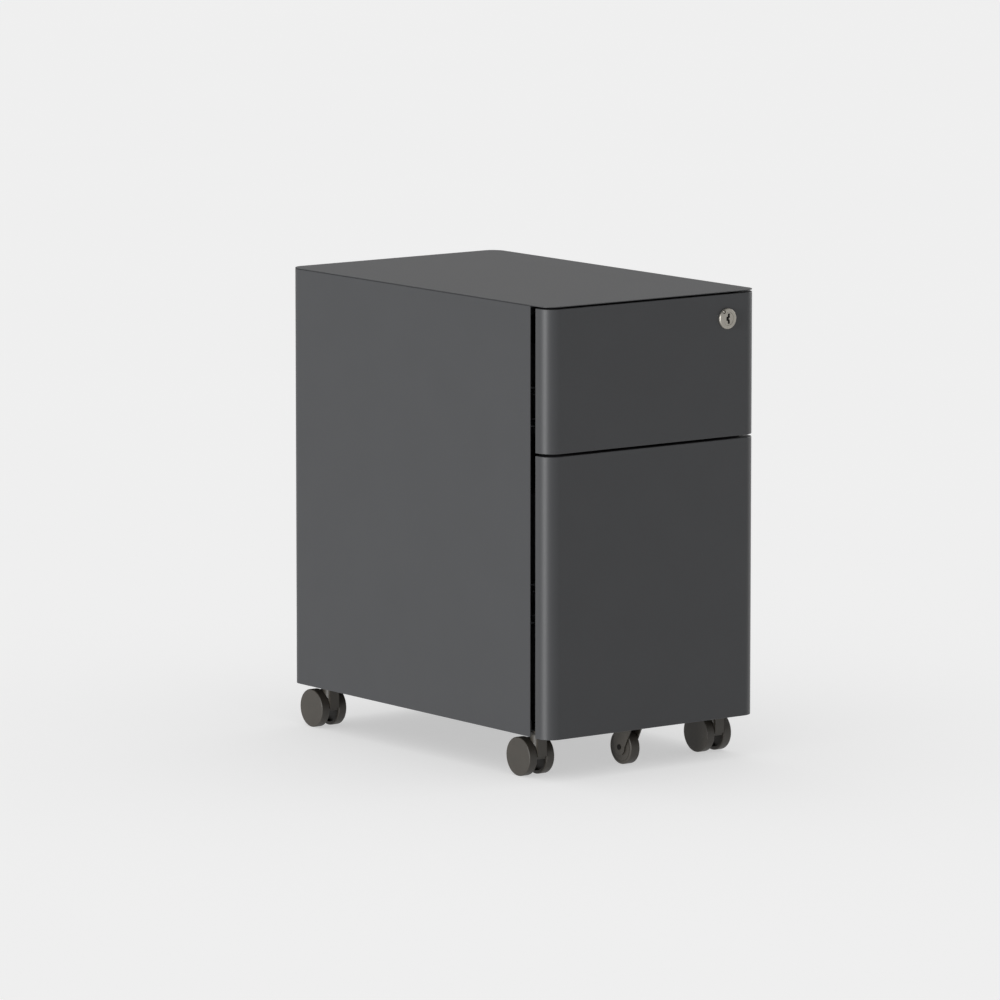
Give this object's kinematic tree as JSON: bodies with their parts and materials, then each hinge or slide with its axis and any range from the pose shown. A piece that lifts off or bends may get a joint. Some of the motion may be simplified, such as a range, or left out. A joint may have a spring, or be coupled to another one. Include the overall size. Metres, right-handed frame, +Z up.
{
  "type": "rolling pedestal cabinet",
  "caption": "Slim steel pedestal on twin-wheel casters, with a box drawer over a file drawer, rounded upright corners and a central lock.",
  "frame": {"origin": "on the floor, under the middle of the case", "axes": "+Z up, the drawer fronts face -Y, +X to the right of someone facing them"},
  "size_m": [0.3026, 0.503, 0.5432],
  "materials": {
    "powder_coat": "fine matt powder coat, dark graphite",
    "inner_coat": "thin matt coat on the inner frame",
    "zinc_steel": "bright zinc plate",
    "lock_nickel": "satin nickel plate",
    "caster_wheel": "moulded nylon, warm dark grey",
    "caster_body": "moulded nylon, warm dark grey"
  },
  "bodies": {
    "case": {"case_wrap": "powder_coat", "top_panel": "powder_coat", "base_pan": "inner_coat", "front_post_left": "inner_coat", "front_post_right": "inner_coat", "rear_post_left": "inner_coat", "rear_post_right": "inner_coat", "top_front_rail": "inner_coat", "box_slide_outer_left": "zinc_steel", "box_slide_outer_right": "zinc_steel", "file_slide_outer_left": "zinc_steel", "file_slide_outer_right": "zinc_steel", "front_left_caster_plate": "caster_body", "front_right_caster_plate": "caster_body", "rear_left_caster_plate": "caster_body", "rear_right_caster_plate": "caster_body"},
    "box_drawer": {"box_drawer_front": "powder_coat", "box_drawer_body": "powder_coat", "box_slide_inner_left": "zinc_steel", "box_slide_inner_right": "zinc_steel", "box_drawer_strike": "zinc_steel", "lock_housing": "lock_nickel", "lock_nut": "lock_nickel"},
    "file_drawer": {"file_drawer_front": "powder_coat", "file_drawer_body": "powder_coat", "file_slide_inner_left": "zinc_steel", "file_slide_inner_right": "zinc_steel", "file_drawer_strike": "zinc_steel", "hanging_rail_front": "zinc_steel", "hanging_rail_rear": "zinc_steel", "drawer_caster_bracket": "zinc_steel"},
    "box_slide_intermediates": {"box_slide_intermediate_left": "zinc_steel", "box_slide_intermediate_right": "zinc_steel"},
    "file_slide_intermediates": {"file_slide_intermediate_left": "zinc_steel", "file_slide_intermediate_right": "zinc_steel"},
    "lock_plug": {"lock_plug": "lock_nickel", "lock_cam": "zinc_steel"},
    "lock_bar": {"lock_bar": "zinc_steel", "lock_bar_arm": "zinc_steel", "lock_catch_box": "zinc_steel", "lock_catch_file": "zinc_steel"},
    "drawer_caster": {"drawer_caster_fork": "caster_body", "drawer_caster_axle": "zinc_steel"},
    "drawer_caster_wheel": {"drawer_caster_wheel": "caster_wheel"},
    "front_left_swivel": {"front_left_caster_hood": "caster_body", "front_left_caster_axle": "zinc_steel"},
    "front_left_wheel_left": {"front_left_caster_wheel_left": "caster_wheel"},
    "front_left_wheel_right": {"front_left_caster_wheel_right": "caster_wheel"},
    "front_right_swivel": {"front_right_caster_hood": "caster_body", "front_right_caster_axle": "zinc_steel"},
    "front_right_wheel_left": {"front_right_caster_wheel_left": "caster_wheel"},
    "front_right_wheel_right": {"front_right_caster_wheel_right": "caster_wheel"},
    "rear_left_swivel": {"rear_left_caster_hood": "caster_body", "rear_left_caster_axle": "zinc_steel"},
    "rear_left_wheel_left": {"rear_left_caster_wheel_left": "caster_wheel"},
    "rear_left_wheel_right": {"rear_left_caster_wheel_right": "caster_wheel"},
    "rear_right_swivel": {"rear_right_caster_hood": "caster_body", "rear_right_caster_axle": "zinc_steel"},
    "rear_right_wheel_left": {"rear_right_caster_wheel_left": "caster_wheel"},
    "rear_right_wheel_right": {"rear_right_caster_wheel_right": "caster_wheel"}
  },
  "joints": [
    {"name": "box_drawer_slide", "type": "slide", "parent": "case", "child": "box_drawer", "axis": [0, -1, 0], "range_m": [0, 0.38]},
    {"name": "file_drawer_slide", "type": "slide", "parent": "case", "child": "file_drawer", "axis": [0, -1, 0], "range_m": [0, 0.38]},
    {"name": "box_slide_travel", "type": "slide", "parent": "case", "child": "box_slide_intermediates", "axis": [0, -1, 0], "range_m": [0, 0.19]},
    {"name": "file_slide_travel", "type": "slide", "parent": "case", "child": "file_slide_intermediates", "axis": [0, -1, 0], "range_m": [0, 0.19]},
    {"name": "lock_plug_turn", "type": "hinge", "parent": "box_drawer", "child": "lock_plug", "pos_m": [0.1056, -0.25, 0.5122], "axis": [0, -1, 0], "range_deg": [0, 90]},
    {"name": "lock_bar_lift", "type": "slide", "parent": "case", "child": "lock_bar", "axis": [0, 0, 1], "range_m": [0, 0.01131]},
    {"name": "swivel_front_left", "type": "hinge", "parent": "case", "child": "front_left_swivel", "pos_m": [-0.12885, -0.202, 0.045], "axis": [0, 0, 1], "continuous": true},
    {"name": "wheel_front_left_left", "type": "hinge", "parent": "front_left_swivel", "child": "front_left_wheel_left", "pos_m": [-0.1411, -0.188, 0.0225], "axis": [1, 0, 0], "continuous": true},
    {"name": "wheel_front_left_right", "type": "hinge", "parent": "front_left_swivel", "child": "front_left_wheel_right", "pos_m": [-0.1166, -0.188, 0.0225], "axis": [1, 0, 0], "continuous": true},
    {"name": "swivel_front_right", "type": "hinge", "parent": "case", "child": "front_right_swivel", "pos_m": [0.12885, -0.202, 0.045], "axis": [0, 0, 1], "continuous": true},
    {"name": "wheel_front_right_left", "type": "hinge", "parent": "front_right_swivel", "child": "front_right_wheel_left", "pos_m": [0.1166, -0.188, 0.0225], "axis": [1, 0, 0], "continuous": true},
    {"name": "wheel_front_right_right", "type": "hinge", "parent": "front_right_swivel", "child": "front_right_wheel_right", "pos_m": [0.1411, -0.188, 0.0225], "axis": [1, 0, 0], "continuous": true},
    {"name": "swivel_rear_left", "type": "hinge", "parent": "case", "child": "rear_left_swivel", "pos_m": [-0.12885, 0.202, 0.045], "axis": [0, 0, 1], "continuous": true},
    {"name": "wheel_rear_left_left", "type": "hinge", "parent": "rear_left_swivel", "child": "rear_left_wheel_left", "pos_m": [-0.1411, 0.216, 0.0225], "axis": [1, 0, 0], "continuous": true},
    {"name": "wheel_rear_left_right", "type": "hinge", "parent": "rear_left_swivel", "child": "rear_left_wheel_right", "pos_m": [-0.1166, 0.216, 0.0225], "axis": [1, 0, 0], "continuous": true},
    {"name": "swivel_rear_right", "type": "hinge", "parent": "case", "child": "rear_right_swivel", "pos_m": [0.12885, 0.202, 0.045], "axis": [0, 0, 1], "continuous": true},
    {"name": "wheel_rear_right_left", "type": "hinge", "parent": "rear_right_swivel", "child": "rear_right_wheel_left", "pos_m": [0.1166, 0.216, 0.0225], "axis": [1, 0, 0], "continuous": true},
    {"name": "wheel_rear_right_right", "type": "hinge", "parent": "rear_right_swivel", "child": "rear_right_wheel_right", "pos_m": [0.1411, 0.216, 0.0225], "axis": [1, 0, 0], "continuous": true},
    {"name": "swivel_under_drawer", "type": "hinge", "parent": "file_drawer", "child": "drawer_caster", "pos_m": [0, -0.207, 0.045], "axis": [0, 0, 1], "continuous": true},
    {"name": "wheel_under_drawer", "type": "hinge", "parent": "drawer_caster", "child": "drawer_caster_wheel", "pos_m": [0, -0.198, 0.02], "axis": [1, 0, 0], "continuous": true}
  ],
  "couplings": [
    {"joint": "box_slide_travel", "follows": "box_drawer_slide", "ratio": 0.5},
    {"joint": "file_slide_travel", "follows": "file_drawer_slide", "ratio": 0.5},
    {"joint": "lock_plug_turn", "follows": "lock_bar_lift", "rad_per_m": 138.84}
  ]
}
